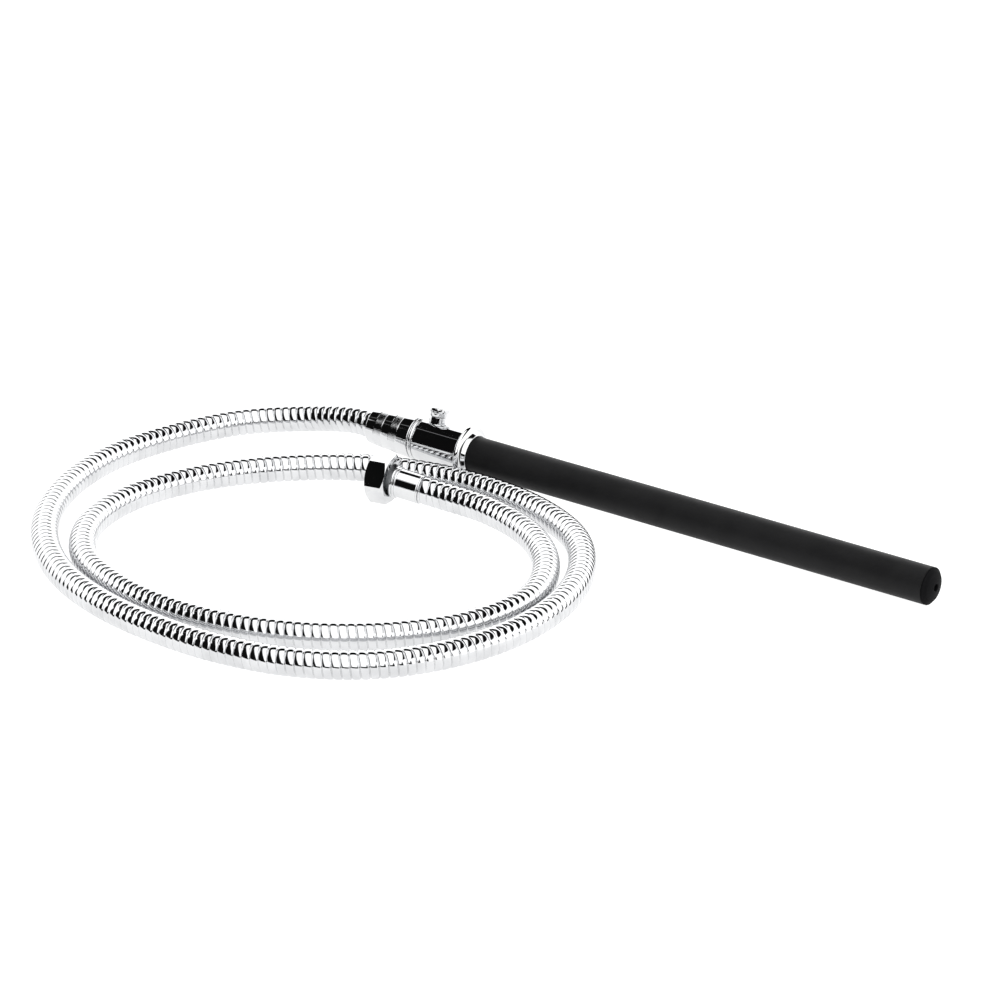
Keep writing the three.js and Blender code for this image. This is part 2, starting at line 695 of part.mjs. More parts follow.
const sprayer = new THREE.Group();
const wand = makeWand();
const { end: farEnd, drooping } = makeFarEnd();
farEnd.updateMatrixWorld(true);
sprayer.add(wand, farEnd, makeHose(wand, drooping));

export default sprayer;
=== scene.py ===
import json
import math

import bmesh
import bpy
import numpy as np
from mathutils import Matrix, Vector


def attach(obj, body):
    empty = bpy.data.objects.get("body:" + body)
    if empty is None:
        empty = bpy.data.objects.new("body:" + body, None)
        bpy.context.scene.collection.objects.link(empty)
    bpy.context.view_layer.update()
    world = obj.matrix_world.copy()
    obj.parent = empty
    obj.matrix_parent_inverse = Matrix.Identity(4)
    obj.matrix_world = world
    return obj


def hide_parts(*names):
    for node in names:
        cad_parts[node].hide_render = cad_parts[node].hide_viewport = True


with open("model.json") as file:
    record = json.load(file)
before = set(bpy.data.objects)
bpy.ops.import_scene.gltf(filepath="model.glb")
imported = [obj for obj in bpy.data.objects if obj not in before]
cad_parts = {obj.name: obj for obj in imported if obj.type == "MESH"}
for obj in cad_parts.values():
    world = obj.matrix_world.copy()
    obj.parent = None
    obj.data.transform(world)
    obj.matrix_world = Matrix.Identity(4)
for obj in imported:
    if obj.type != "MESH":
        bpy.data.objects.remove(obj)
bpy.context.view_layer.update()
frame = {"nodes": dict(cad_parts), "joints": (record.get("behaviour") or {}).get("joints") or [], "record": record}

MM = 0.001

# ---------------------------------------------------------------- driving dimensions, in metres

ROUND_SIDES = 128
SMALL_SIDES = 64
FINE_SIDES = 96
FILLET_STEPS = 4
FILLET_SHARE = 0.45               # of an edge that a corner's rounding may take
DOME_STEPS = 10
BEVEL_SEGMENTS = 3
FINE_EDGE = 0.15 * MM
FIT_GAP = 0.3 * MM                # round a piece that fits into another
CUT_PAST = 1 * MM                 # how far a cutting tool reaches past what it cuts

# The hose: a strip wound into overlapping turns, lying on one smooth curve
HOSE_R = 7.0 * MM
HOSE_SIDES = 32
RIB_PITCH = 4.15 * MM
RIB_CROWN = 0.32 * MM
SEAM_DEPTH = 0.4 * MM
SEAM_HALF = 0.055                 # of a pitch
SEAM_SIDE = 0.8                   # of the seam's depth, at its sides
RIB_PLACES = (0.09, 0.15, 0.24, 0.36, 0.5, 0.64, 0.76, 0.85, 0.91)
RIB_FALL = 2.2                    # how squarely a rib's crown drops to its sides
SPARE_TURNS = 3                   # of the strip past the hose's ends, trimmed off
HOSE_GAP = 0.3 * MM               # between the hose and its end fittings
FLOOR_CLEARANCE = 0.05 * MM
WAND_LEAD = 12 * MM
FAR_LEAD = 9 * MM
PATH_SAMPLES = 6000
PATH_STRIDE = 12
SPAN_SAMPLES = 200

# Stations along the wand, from the rear face of the collar towards the tip
CONE_JOINT_STATION = -44.0 * MM
CONE_REAR = -57.4 * MM
CONE_FRONT = -30.4 * MM
CONE_NARROW_R = 9.2 * MM
CONE_WIDE_R = 11.2 * MM
CONE_HOLE_R = 8.1 * MM
CONE_SHOULDER = -42.7 * MM
THREAD_R = 9.4 * MM
KNURL_STARTS = (5.2 * MM, 14.9 * MM)
KNURL_WIDTH = 5.2 * MM
KNURL_DEPTH = 0.14 * MM
KNURL_EDGE = 0.4 * MM
KNURL_SLOPE = 1.6                 # above 1, the diamonds have flat tops
KNURL_TEETH = 72
KNURL_STEPS = 26
KNURL_SIDES = 288
KNURL_MARGIN = 0.1 * MM
CONE_ROUND = 0.5 * MM
# How far in from an end, and how far below the cone, the points of its rounding are
CONE_REAR_ROUND = ((0.0, 0.7 * MM), (0.05 * MM, 0.35 * MM), (0.2 * MM, 0.1 * MM))
CONE_FRONT_ROUND = ((0.2 * MM, 0.08 * MM), (0.05 * MM, 0.25 * MM), (0.0, 0.5 * MM))

RING_REAR = -30.1 * MM
RING_FRONT = -27.9 * MM
RING_R = 11.3 * MM
RING_CROWN = 0.9 * MM
RING_STEPS = 12
SPIGOT_REAR = -38.8 * MM
SPIGOT_R = 9.1 * MM
BODY_REAR = -27.6 * MM
BODY_FRONT = -0.3 * MM
BODY_R = 10.9 * MM
BODY_EDGE = 0.2 * MM
BODY_ROWS = 30
BODY_END_ROW = 0.5 * MM
SOCKET_R = 8.2 * MM
SOCKET_DEPTH = 12.5 * MM
WATER_BORE_R = 3.5 * MM
PORT_MARGIN = 1.2 * MM            # between the water bore's end and the plunger's bore
BORE_OVERLAP = 0.3 * MM           # of the plunger's bore into the wider cuts at its ends
PLUNGER_STATION = -21.2 * MM
PLUNGER_BORE_R = 4.5 * MM
DISH_R = 5.8 * MM
DISH_FLOOR_R = 4.8 * MM
DISH_DEPTH = 2.4 * MM
STOP_SHOULDER = -2.8 * MM
STOP_BORE_R = 5.2 * MM
BORE_PLUG_TOP = -8.9 * MM

PLUNGER_R = 4.2 * MM
PLUNGER_BOTTOM = -3.8 * MM
PLUNGER_SHOULDER = 13.4 * MM
STOP_FLANGE_R = 4.9 * MM
STOP_FLANGE_TOP = -3.1 * MM
WAIST_R = 2.2 * MM
WAIST_HALF = 1.35 * MM
RING_GROOVES = (2.9 * MM, 6.7 * MM)
RING_GROOVE_HALF = 0.95 * MM
RING_GROOVE_R = 2.6 * MM
STUD_LENGTH = 2.4 * MM
KNOB_BOTTOM = 13.7 * MM
KNOB_NECK_TOP = 15.6 * MM
KNOB_RIM_BOTTOM = 16.5 * MM
KNOB_RIM_TOP = 17.9 * MM
KNOB_NECK_R = 4.5 * MM
KNOB_NECK_TAPER = 0.08 * MM
KNOB_RIM_R = 5.2 * MM
KNOB_DOME = 1.2 * MM
STUD_R = 1.7 * MM
STUD_TOP = 16.1 * MM

COLLAR_R = 14.2 * MM
COLLAR_RIM = 0.8 * MM
COLLAR_EDGE = 0.75 * MM
COLLAR_LENGTH = 5.2 * MM
COLLAR_MOUTH_R = 10.3 * MM
COLLAR_LIP_START = 3.3 * MM
COLLAR_LIP_R = 11.3 * MM
COLLAR_BELL_TURN = math.radians(75)
COLLAR_BELL_STEPS = 16
COLLAR_STEP = 1.9 * MM

TUBE_REAR = 3.4 * MM
TUBE_FRONT = 268.0 * MM
TUBE_R = 9.4 * MM
TUBE_BORE_R = 6.6 * MM
TIP_REAR = 268.3 * MM
TIP_SHANK = 18 * MM
TIP_SHANK_R = 4.5 * MM
TIP_EDGE = 0.4 * MM
TIP_BEVEL = 1.7 * MM
TIP_FACE_R = 7.3 * MM
TIP_DOME = 1.2 * MM
OUTLET_R = 1.8 * MM
OUTLET_LIP = 0.3 * MM

# Far end; lengths are measured from the middle of the nut, towards the hose
FAR_DROOP = math.radians(7)
HEX_FLATS = 22.5 * MM
HEX_LENGTH = 10.5 * MM
HEX_BACK_WALL = 1.6 * MM
HEX_HOLE_R = 8.0 * MM
HEX_CHAMFER = 1.4 * MM
HEX_EDGE = 0.3 * MM
SLEEVE_R = 7.4 * MM
SLEEVE_BORE_R = 4.9 * MM
SLEEVE_START = 6.7 * MM
SLEEVE_END = 21.9 * MM
SLEEVE_BEADS = (                  # start, width and radius of each
    (6.7 * MM, 1.3 * MM, 8.2 * MM),
    (8.3 * MM, 1.0 * MM, 8.0 * MM),
)
BEAD_SIDE = 0.12                  # of a bead's width, on each side of its top
SLEEVE_GROOVE_R = 7.6 * MM
SLEEVE_LIP = 0.9 * MM
SLEEVE_LIP_GROOVE = 0.25 * MM

# The hose's route on the floor, in millimetres, with a height only where it is lifted
HOSE_LAY_MM = (
    (-202, -2.5, 11.5), (-234.5, -22, 8.2), (-253.5, -54.5), (-261.5, -92), (-258, -130),
    (-244, -165.5), (-221, -196), (-191, -219.5), (-156, -234.5), (-118.5, -242), (-80, -243),
    (-42.5, -235.5), (-9.5, -216), (13, -185.5), (24.5, -149.5), (24, -111), (11.5, -75),
    (-12, -45), (-45.5, -27), (-83, -19.5), (-121, -22.5), (-156.5, -36), (-187, -60),
    (-210, -90.5), (-222, -127), (-218, -164.5), (-197, -196), (-163, -214.5), (-125.5, -222),
    (-87.5, -219.5), (-51.5, -206.5), (-20.5, -184), (2, -153.5), (9, -116.5), (-5, -81),
    (-32, -54.5), (-66, -41),
)

# Camera: azimuth 0 looks along +Y, and it turns towards +X
VIEW_AZIMUTH = math.radians(34.36)
VIEW_ELEVATION = math.radians(23.59)
VIEW_DISTANCE = 2.501
VIEW_TARGET = Vector((-78.1 * MM, -13.35 * MM, 0))
LENS_MM = 180
SENSOR_MM = 36

# Studio: each light fills a set of directions, and its strength is relative to white
FLOOR_HALF = 12.0
FLOOR_TOP = -0.05 * MM
FLOOR_TONES = ((0.30, 0.30, 0.30), (0.28, 0.28, 0.28))
FLOOR_GLOW = 1.0
WALL_TOP = math.radians(40)
WALL_TOP_SOFT = 0.02
WALL_NEAR_EDGE = (-0.45, -0.35)   # along Y, where the wall fades in from the camera's side
WALL_STRENGTH = 1.9
KEY_AZIMUTH = math.radians(34)
KEY_ELEVATION = math.radians(62)
KEY_HALF_WIDTH = math.radians(27.5)
KEY_HALF_HEIGHT = math.radians(51)
KEY_SOFT = 0.08
KEY_STRENGTH = 1.9
STRIP_LEAN = 0.21                 # the strip runs along X, this share of its height off overhead
STRIP_EDGE = (0.035, 0.015)
STRIP_STRENGTH = 0.25
ROOM_GLOW = 0.006
SMALLEST = 0.0001                 # keeps a divisor above zero


# ---------------------------------------------------------------- frames taken from the joints

def joint(name):
    return next(entry for entry in frame["joints"] if entry["name"] == name)


def frame_along(origin, axis):
    """Matrix whose X runs along the axis, and whose Y stays level."""
    x = Vector(axis).normalized()
    y = Vector((0, 0, 1)).cross(x).normalized()
    z = x.cross(y)
    turned_axes = Matrix((x, y, z)).transposed().to_4x4()
    return Matrix.Translation(Vector(origin)) @ turned_axes


def wand_frame():
    cone = joint("cone_nut_spin")
    axis = Vector(cone["axis"]).normalized()
    origin = Vector(cone["pos_m"]) - axis * CONE_JOINT_STATION
    return frame_along(origin, axis)


def plunger_frame(wand):
    """X along the plunger's travel, from where it crosses the wand's axis, Y across the wand."""
    origin = wand @ Vector((PLUNGER_STATION, 0, 0))
    x = Vector(joint("plunger_slide")["axis"]).normalized()
    y = x.cross(wand.col[0].to_3d()).normalized()
    z = x.cross(y)
    return Matrix.Translation(origin) @ Matrix((x, y, z)).transposed().to_4x4()


def nut_frame():
    nut = joint("hex_nut_spin")
    return frame_along(nut["pos_m"], nut["axis"])


WAND = wand_frame()
PLUNGER = plunger_frame(WAND)
NUT = nut_frame()
SLEEVE = NUT @ Matrix.Rotation(FAR_DROOP, 4, "Y")


def point_on(matrix, station):
    return matrix @ Vector((station, 0, 0))


# ---------------------------------------------------------------- camera, floor and light

def make_camera():
    direction = Vector((
        math.sin(VIEW_AZIMUTH) * math.cos(VIEW_ELEVATION),
        -math.cos(VIEW_AZIMUTH) * math.cos(VIEW_ELEVATION),
        math.sin(VIEW_ELEVATION),
    ))
    camera = bpy.data.objects.new("camera", bpy.data.cameras.new("camera"))
    camera.data.lens = LENS_MM
    camera.data.sensor_width = SENSOR_MM
    camera.data.clip_end = 50
    camera.location = VIEW_TARGET + direction * VIEW_DISTANCE
    camera.rotation_euler = (-direction).to_track_quat("-Z", "Y").to_euler()
    bpy.context.scene.collection.objects.link(camera)
    bpy.context.scene.camera = camera


make_camera()


# ---------------------------------------------------------------- node helpers

def add_node(tree, kind, inputs=None, **settings):
    """A shader node with its settings, and its inputs linked from sockets or set to values."""
    made = tree.nodes.new(kind)
    for name, value in settings.items():
        setattr(made, name, value)
    for name, value in (inputs or {}).items():
        if isinstance(value, bpy.types.NodeSocket):
            tree.links.new(value, made.inputs[name])
        else:
            made.inputs[name].default_value = value
    return made


def ramp(tree, value, start, end, low=0.0, high=1.0):
    """The value mapped smoothly from start..end to low..high, and held beyond them."""
    made = add_node(tree, "ShaderNodeMapRange", {
        "Value": value, "From Min": start, "From Max": end, "To Min": low, "To Max": high,
    }, interpolation_type="SMOOTHSTEP")
    return made.outputs["Result"]


def maths(tree, operation, *values):
    made = add_node(tree, "ShaderNodeMath", dict(enumerate(values)), operation=operation)
    return made.outputs[0]


def noise(tree, scale, detail=3.0, roughness=0.5, distortion=0.0, stretch=None):
    """Noise over the part's own frame, in metres, stretched by a scale on each axis."""
    place = add_node(tree, "ShaderNodeTexCoord").outputs["Object"]
    if stretch:
        place = add_node(tree, "ShaderNodeMapping", {"Vector": place, "Scale": stretch}).outputs[0]
    made = add_node(tree, "ShaderNodeTexNoise", {
        "Vector": place, "Scale": scale, "Detail": detail, "Roughness": roughness,
        "Distortion": distortion,
    })
    return made.outputs["Fac"]


def mix_colour(tree, factor, first, second):
    made = add_node(tree, "ShaderNodeMix", {"Factor": factor}, data_type="RGBA")
    made.inputs[6].default_value = (*first, 1)
    made.inputs[7].default_value = (*second, 1)
    return made.outputs[2]


def new_material(name):
    """An empty node material, its tree and its surface shader."""
    material = bpy.data.materials.new(name)
    material.use_nodes = True
    tree = material.node_tree
    tree.nodes.clear()
    shader = add_node(tree, "ShaderNodeBsdfPrincipled")
    output = add_node(tree, "ShaderNodeOutputMaterial")
    tree.links.new(shader.outputs[0], output.inputs["Surface"])
    return material, tree, shader


def bump(tree, height, distance, normal=None):
    inputs = {"Height": height, "Distance": distance, "Strength": 1.0}
    if normal:
        inputs["Normal"] = normal
    return add_node(tree, "ShaderNodeBump", inputs).outputs[0]


# ---------------------------------------------------------------- materials

def plated(name, bright, dull, roughness, smudge, scratch, ripple):
    """Plated metal: two close tones, smudged gloss, hairline polishing marks and a faint ripple."""
    material, tree, shader = new_material(name)
    shader.inputs["Metallic"].default_value = 1.0
    tone = ramp(tree, noise(tree, 90, 4), 0.35, 0.7)
    tree.links.new(mix_colour(tree, tone, bright, dull), shader.inputs["Base Color"])
    haze = noise(tree, 260, 5, 0.6, 0.4)
    gloss = ramp(tree, haze, 0.4, 0.75, roughness, roughness + smudge)
    tree.links.new(gloss, shader.inputs["Roughness"])
    marks = noise(tree, 900, 2, 0.5, 0, (1, 9, 9))
    swell = noise(tree, 160, 1)
    rippled = bump(tree, swell, ripple)
    tree.links.new(bump(tree, marks, scratch, rippled), shader.inputs["Normal"])
    return material


def chrome_material():
    return plated("polished_chrome", (0.66, 0.665, 0.67), (0.60, 0.605, 0.615), 0.035, 0.05,
                  0.0006 * MM, 0.003 * MM)


def hose_chrome_material():
    return plated("strip_chrome", (0.66, 0.665, 0.675), (0.58, 0.585, 0.595), 0.05, 0.07,
                  0.0012 * MM, 0.006 * MM)


def turned_metal(name, bright, dull, roughness):
    """Turned bare metal with fine tool rings round its axis."""
    material, tree, shader = new_material(name)
    shader.inputs["Metallic"].default_value = 1.0
    tone = ramp(tree, noise(tree, 220, 4), 0.3, 0.7)
    tree.links.new(mix_colour(tree, tone, bright, dull), shader.inputs["Base Color"])
    gloss = ramp(tree, noise(tree, 500, 3), 0.3, 0.7, roughness, roughness + 0.15)
    tree.links.new(gloss, shader.inputs["Roughness"])
    rings = noise(tree, 1800, 2, 0.5, 0, (6, 1, 1))
    tree.links.new(bump(tree, rings, 0.01 * MM), shader.inputs["Normal"])
    return material


def matt_black(name, light, dark, roughness, shine, grain, grain_scale):
    """Matt black skin: faint cloudy tone, varied sheen and a fine even grain."""
    material, tree, shader = new_material(name)
    shader.inputs["Specular IOR Level"].default_value = shine
    tone = ramp(tree, noise(tree, 60, 4, 0.55), 0.35, 0.7)
    tree.links.new(mix_colour(tree, tone, light, dark), shader.inputs["Base Color"])
    gloss = ramp(tree, noise(tree, 140, 4, 0.6), 0.3, 0.7, roughness - 0.04, roughness + 0.05)
    tree.links.new(gloss, shader.inputs["Roughness"])
    fine = noise(tree, grain_scale, 2, 0.6)
    tree.links.new(bump(tree, fine, grain), shader.inputs["Normal"])
    return material


def moulded(name, light, dark, roughness, through=0.0):
    """Moulded plastic or rubber with a slight mottle, and some light let through."""
    material, tree, shader = new_material(name)
    shader.inputs["Transmission Weight"].default_value = through
    tone = ramp(tree, noise(tree, 150, 3), 0.3, 0.7)
    tree.links.new(mix_colour(tree, tone, light, dark), shader.inputs["Base Color"])
    gloss = ramp(tree, noise(tree, 400, 3), 0.3, 0.7, roughness, roughness + 0.1)
    tree.links.new(gloss, shader.inputs["Roughness"])
    tree.links.new(bump(tree, noise(tree, 2500, 2), 0.004 * MM), shader.inputs["Normal"])
    return material


MATERIALS = {
    "chrome": chrome_material(),
    "hose_chrome": hose_chrome_material(),
    "brass": turned_metal("turned_brass", (0.78, 0.6, 0.3), (0.66, 0.48, 0.22), 0.25),
    "steel": turned_metal("drawn_steel", (0.6, 0.6, 0.61), (0.5, 0.5, 0.52), 0.25),
    "black_sleeve": matt_black("black_sleeve", (0.0125, 0.0125, 0.013), (0.0095, 0.0095, 0.01),
                               0.5, 0.1, 0.012 * MM, 2600),
    "black_tip": matt_black("black_tip", (0.005, 0.005, 0.0055), (0.0035, 0.0035, 0.004),
                            0.55, 0.03, 0.02 * MM, 1500),
    "seal_rubber": moulded("seal_rubber", (0.015, 0.015, 0.015), (0.008, 0.008, 0.008), 0.6),
    "core_plastic": moulded("core_plastic", (0.28, 0.29, 0.3), (0.22, 0.23, 0.24), 0.4),
    "liner_plastic": moulded("liner_plastic", (0.5, 0.52, 0.54), (0.42, 0.44, 0.46), 0.35, 0.3),
}


# ---------------------------------------------------------------- mesh helpers

def settle(piece, slot, body, *nodes):
    """Gives a piece the material of its slot and its body, and hides the CAD nodes that it stands for."""
    piece.data.materials.clear()
    piece.data.materials.append(MATERIALS[slot])
    if nodes:
        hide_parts(*nodes)
    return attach(piece, body)


def object_from(mesh, name):
    piece = bpy.data.objects.new(name, mesh)
    bpy.context.scene.collection.objects.link(piece)
    return piece


def mesh_from(name, points, faces, matrix=None):
    mesh = bpy.data.meshes.new(name)
    mesh.from_pydata([tuple(point) for point in points], [], faces)
    if matrix:
        mesh.transform(matrix)
    work = bmesh.new()
    work.from_mesh(mesh)
    bmesh.ops.recalc_face_normals(work, faces=work.faces)
    work.to_mesh(mesh)
    work.free()
    mesh.shade_smooth()
    return mesh


def even_normals(piece):
    """Broad faces keep true normals, and the rounding is left to the small edge faces."""
    modifier = piece.modifiers.new("even_normals", "WEIGHTED_NORMAL")
    modifier.keep_sharp = True
    modifier.weight = 50


def filleted(profile, radius, closed):
    """Rounds the corners of a (station, radius) outline; a third value is a corner's own rounding."""
    rounded = []
    count = len(profile)
    for index, corner in enumerate(profile):
        here = Vector(corner[:2])
        wanted = corner[2] if len(corner) > 2 else radius
        if wanted == 0 or (not closed and index in (0, count - 1)):
            rounded.append(here)
            continue
        before = Vector(profile[index - 1][:2]) - here
        after = Vector(profile[(index + 1) % count][:2]) - here
        reach = min(wanted, before.length * FILLET_SHARE, after.length * FILLET_SHARE)
        start = here + before.normalized() * reach
        end = here + after.normalized() * reach
        for step in range(FILLET_STEPS + 1):
            t = step / FILLET_STEPS
            rounded.append(start * (1 - t) ** 2 + here * (2 * t * (1 - t)) + end * t ** 2)
    return rounded


def turned(name, profile, matrix, radius=FINE_EDGE, sides=ROUND_SIDES, flat=False):
    """A body of revolution about X. An outline that stays off the axis closes into a ring."""
    closed = profile[0][1] > 0
    outline = profile if flat else filleted(profile, radius, closed)
    points = []
    rings = []
    for station, distance in outline:
        if distance < 1e-9:
            rings.append([len(points)] * sides)
            points.append((station, 0, 0))
            continue
        rings.append(list(range(len(points), len(points) + sides)))
        for side in range(sides):
            angle = 2 * math.pi * side / sides
            points.append((station, distance * math.cos(angle), distance * math.sin(angle)))
    if closed:
        rings.append(rings[0])
    faces = []
    for lower, upper in zip(rings, rings[1:]):
        for side in range(sides):
            after = (side + 1) % sides
            corners = [lower[side], lower[after], upper[after], upper[side]]
            corners = list(dict.fromkeys(corners))
            if len(corners) > 2:
                faces.append(corners)
    piece = object_from(mesh_from(name, points, faces, matrix), name)
    even_normals(piece)
    return piece


def dome(rim_station, rim_radius, height, inner_radius=0.0):
    """Outline points over a shallow dome, from its rim in towards the axis."""
    sphere = (rim_radius ** 2 + height ** 2) / (2 * height)
    points = []
    for step in range(DOME_STEPS + 1):
        distance = rim_radius + (inner_radius - rim_radius) * step / DOME_STEPS
        station = rim_station + height - sphere + math.sqrt(sphere ** 2 - distance ** 2)
        points.append((station, distance, 0))
    return points


def carve(piece, operation, tools, edge, angle=35):
    """Cuts or trims a piece with tool pieces, breaks its new edges, and bakes the result."""
    for tool in tools:
        modifier = piece.modifiers.new("carve", "BOOLEAN")
        modifier.operation = operation
        modifier.object = tool
        modifier.solver = "EXACT"
    bevel = piece.modifiers.new("edges", "BEVEL")
    bevel.width = edge
    bevel.segments = BEVEL_SEGMENTS
    bevel.limit_method = "ANGLE"
    bevel.angle_limit = math.radians(angle)
    bevel.use_clamp_overlap = True
    bpy.context.view_layer.update()
    depsgraph = bpy.context.evaluated_depsgraph_get()
    baked = bpy.data.meshes.new_from_object(piece.evaluated_get(depsgraph))
    piece.modifiers.clear()
    piece.data = baked
    baked.name = piece.name
    baked.shade_smooth()
    for tool in tools:
        bpy.data.objects.remove(tool)
    even_normals(piece)
    return piece


def plain(name, profile, matrix, sides=ROUND_SIDES):
    """A turned blank or cutting tool without rounded edges or modifiers."""
    piece = turned(name, profile, matrix, sides=sides, flat=True)
    piece.modifiers.clear()
    return piece


def rod_outline(rear, front, radius):
    return [(rear, 0), (rear, radius), (front, radius), (front, 0)]


# ---------------------------------------------------------------- hose

def route_points():
    """The hose's centreline points, from the conical nut to the far end's sleeve."""
    lift = HOSE_R + FLOOR_CLEARANCE
    lay = [Vector((p[0] * MM, p[1] * MM, p[2] * MM if len(p) > 2 else lift)) for p in HOSE_LAY_MM]
    start = [point_on(WAND, CONE_REAR - HOSE_GAP), point_on(WAND, CONE_REAR - WAND_LEAD)]
    end = [point_on(SLEEVE, SLEEVE_END + FAR_LEAD), point_on(SLEEVE, SLEEVE_END + HOSE_GAP)]
    return start + lay + end


def smooth_curve(points, samples):
    """A centripetal Catmull-Rom curve through the points, sampled evenly along its length."""
    knots = np.array([tuple(point) for point in points])
    knots = np.vstack([2 * knots[0] - knots[1], knots, 2 * knots[-1] - knots[-2]])
    t = np.linspace(0, 1, SPAN_SAMPLES, endpoint=False)[:, None]
    curve = []
    for p0, p1, p2, p3 in zip(knots, knots[1:], knots[2:], knots[3:]):
        d0, d1, d2 = (np.sqrt(np.linalg.norm(b - a)) for a, b in ((p0, p1), (p1, p2), (p2, p3)))
        m1 = ((p1 - p0) / d0 - (p2 - p0) / (d0 + d1) + (p2 - p1) / d1) * d1
        m2 = ((p2 - p1) / d1 - (p3 - p1) / (d1 + d2) + (p3 - p2) / d2) * d1
        curve.append((2 * t ** 3 - 3 * t ** 2 + 1) * p1 + (t ** 3 - 2 * t ** 2 + t) * m1
                     + (3 * t ** 2 - 2 * t ** 3) * p2 + (t ** 3 - t ** 2) * m2)
    curve = np.vstack(curve + [knots[-2:-1]])
    lengths = np.concatenate([[0], np.cumsum(np.linalg.norm(np.diff(curve, axis=0), axis=1))])
    even = np.linspace(0, lengths[-1], samples)
    return np.stack([np.interp(even, lengths, curve[:, axis]) for axis in range(3)], 1), lengths[-1]


def frames_along(line):
    """A normal and a binormal at each point of a line, carried along it without twist."""
    tangents = np.gradient(line, axis=0)
    tangents /= np.linalg.norm(tangents, axis=1)[:, None]
    normals = np.zeros_like(line)
    normal = np.array([0.0, 0.0, 1.0])
    for index, tangent in enumerate(tangents):
        normal = normal - tangent * normal.dot(tangent)
        normal /= np.linalg.norm(normal)
        normals[index] = normal
    return tangents, normals, np.cross(tangents, normals)


def rib_outline():
    """One turn of the strip: place along the pitch and depth below the hose's radius."""
    side = RIB_CROWN + SEAM_DEPTH * SEAM_SIDE
    outline = [(0.0, RIB_CROWN + SEAM_DEPTH), (SEAM_HALF, side)]
    for place in RIB_PLACES:
        outline.append((place, RIB_CROWN * abs(2 * place - 1) ** RIB_FALL))
    outline.append((1 - SEAM_HALF, side))
    return outline


def hose_mesh(line, length):
    """The wound strip: each ring of points climbs one pitch in a turn, so the ribs are one helix."""
    tangents, normals, binormals = frames_along(line)
    stations = np.linspace(0, length, len(line))
    outline = rib_outline()
    turns = math.ceil(length / RIB_PITCH) + SPARE_TURNS
    rib = np.array([place for place, depth in outline])
    along = np.concatenate([(turn - 2 + rib) * RIB_PITCH for turn in range(turns)])
    radii = np.tile([HOSE_R - depth for place, depth in outline], turns)
    side = np.arange(HOSE_SIDES) / HOSE_SIDES
    s = along[:, None] + RIB_PITCH * side[None, :]
    within = np.clip(s, 0, length)

    def at(values):
        return np.stack([np.interp(within, stations, values[:, axis]) for axis in range(3)], -1)

    centre = at(line) + (s - within)[..., None] * at(tangents)
    turn_angle = 2 * math.pi * side
    spoke = np.cos(turn_angle)[None, :, None] * at(normals)
    spoke = spoke + np.sin(turn_angle)[None, :, None] * at(binormals)
    points = (centre + radii[:, None, None] * spoke).reshape(-1, 3)
    faces = []
    step = len(outline)
    last = HOSE_SIDES - 1
    for ring in range(len(along) - 1):
        row = ring * HOSE_SIDES
        for column in range(last):
            corner = row + column
            faces.append((corner, corner + 1, corner + 1 + HOSE_SIDES, corner + HOSE_SIDES))
        wrapped = (ring + step) * HOSE_SIDES
        if ring + step + 1 < len(along):
            faces.append((row + last, wrapped, wrapped + HOSE_SIDES, row + last + HOSE_SIDES))
    mesh = bpy.data.meshes.new("shower_hose")
    mesh.from_pydata(points.tolist(), [], faces)
    trim_ends(mesh, line, tangents, along, length)
    return mesh


def unique(elements):
    """Each element once, in the order given, so that every run cuts in the same order."""
    return list(dict.fromkeys(elements))


def trim_ends(mesh, line, tangents, along, length):
    """Cuts the wound tube square at both ends of its line, and closes the cuts."""
    work = bmesh.new()
    work.from_mesh(mesh)
    work.verts.ensure_lookup_table()
    reach = RIB_PITCH * 4
    rings = len(along)

    def station(vert):
        return along[min(vert.index // HOSE_SIDES, rings - 1)]

    near_start = [vert for vert in work.verts if station(vert) < reach]
    near_end = [vert for vert in work.verts if station(vert) > length - reach]
    cuts = ((near_start, line[0], -tangents[0]), (near_end, line[-1], tangents[-1]))
    for near, point, outward in cuts:
        edges = unique(edge for vert in near for edge in vert.link_edges)
        faces = unique(face for vert in near for face in vert.link_faces)
        corners = unique(near + [vert for face in faces for vert in face.verts])
        bmesh.ops.bisect_plane(work, geom=corners + edges + faces,
                               plane_co=point, plane_no=outward, clear_outer=True)
    loose = [vert for vert in work.verts if not vert.link_faces]
    bmesh.ops.delete(work, geom=loose, context="VERTS")
    bmesh.ops.holes_fill(work, edges=[edge for edge in work.edges if edge.is_boundary], sides=0)
    bmesh.ops.recalc_face_normals(work, faces=work.faces)
    work.to_mesh(mesh)
    work.free()
    mesh.shade_smooth()


def make_hose():
    line, length = smooth_curve(route_points(), PATH_SAMPLES)
    hose = object_from(hose_mesh(line, length), "shower_hose")
    settle(hose, "hose_chrome", "sprayer", "hose")
    return hose, line[::PATH_STRIDE].tolist() + [line[-1].tolist()]


# ---------------------------------------------------------------- pieces at the hose's ends

